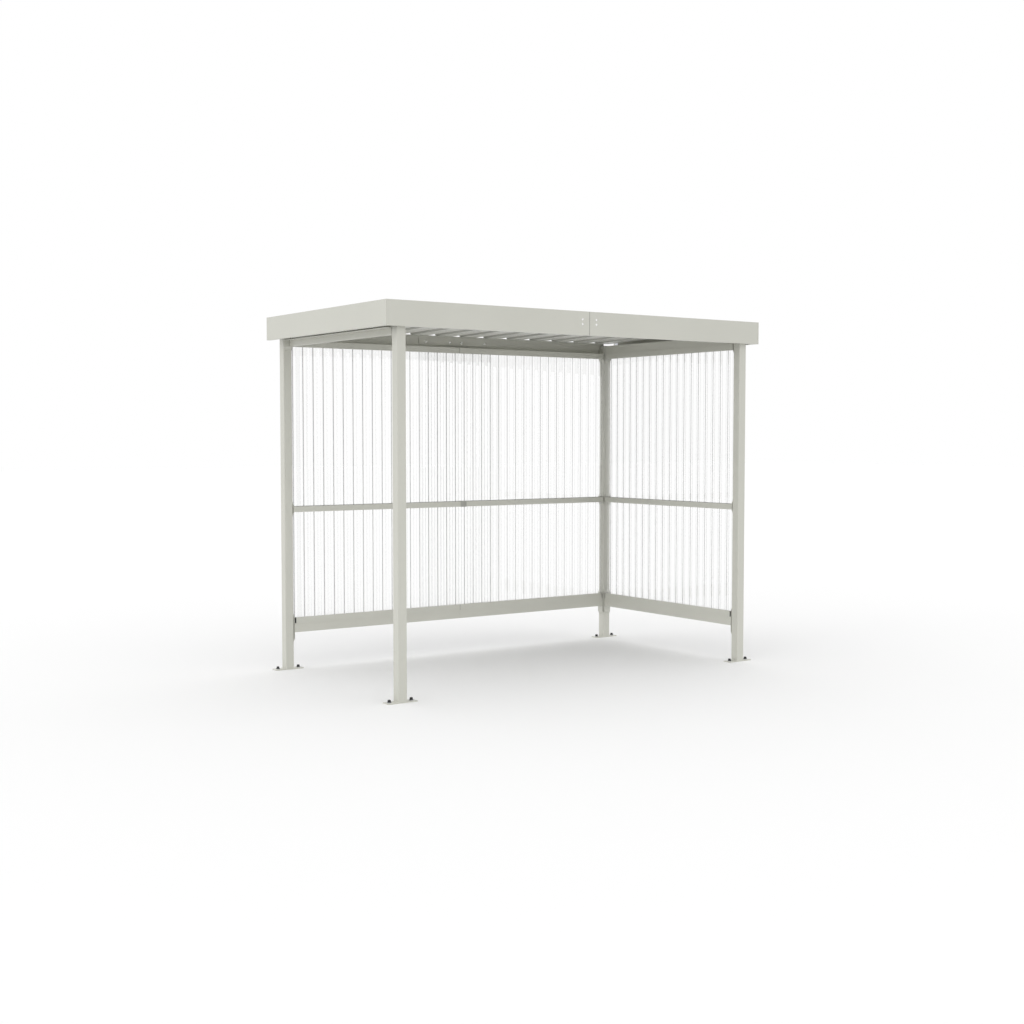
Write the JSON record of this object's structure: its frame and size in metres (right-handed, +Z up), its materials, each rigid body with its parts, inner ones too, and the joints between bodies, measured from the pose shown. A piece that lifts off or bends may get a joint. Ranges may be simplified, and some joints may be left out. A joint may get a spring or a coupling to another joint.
{
  "type": "smoking shelter",
  "caption": "Open-fronted smoking shelter: square steel posts on base plates, flat ribbed roof behind deep edge boards, clear ribbed sheets closing the back and one end.",
  "frame": {"origin": "centre of the roof outline, at ground level under the base plates", "axes": "+X along the long back wall to the closed end, +Y from the open front to the back wall, +Z up"},
  "size_m": [2.956, 1.582, 2.35],
  "materials": {
    "paint": "satin powder coat",
    "roof_sheet": "satin coated sheet",
    "zinc_plate": "dull zinc plating",
    "clear_sheet": "clear glossy"
  },
  "bodies": {
    "root": {"back_left_post": "paint", "back_right_post": "paint", "front_left_post": "paint", "front_right_post": "paint", "back_left_base_plate": "paint", "back_right_base_plate": "paint", "front_left_base_plate": "paint", "front_right_base_plate": "paint", "back_left_rail_straps": "paint", "back_right_rail_straps": "paint", "front_left_rail_strap": "paint", "front_right_rail_straps": "paint", "back_bottom_rail_left": "paint", "back_bottom_rail_right": "paint", "back_mid_rail_left": "paint", "back_mid_rail_right": "paint", "back_top_rail_left": "paint", "back_top_rail_right": "paint", "right_bottom_rail": "paint", "right_mid_rail": "paint", "right_top_beam": "paint", "left_top_beam": "paint", "front_fascia_left": "paint", "front_fascia_right": "paint", "front_fascia_splice": "paint", "back_fascia_left": "paint", "back_fascia_right": "paint", "back_fascia_splice": "paint", "left_fascia": "paint", "right_fascia": "paint", "left_fascia_brackets": "zinc_plate", "right_fascia_brackets": "zinc_plate", "roof_sheet_left": "roof_sheet", "roof_sheet_middle": "roof_sheet", "roof_sheet_right": "roof_sheet", "front_deck_angles": "paint", "back_deck_angle": "paint", "back_wall_sheet_left": "clear_sheet", "back_wall_sheet_right": "clear_sheet", "right_wall_sheet": "clear_sheet"}
  },
  "joints": []
}
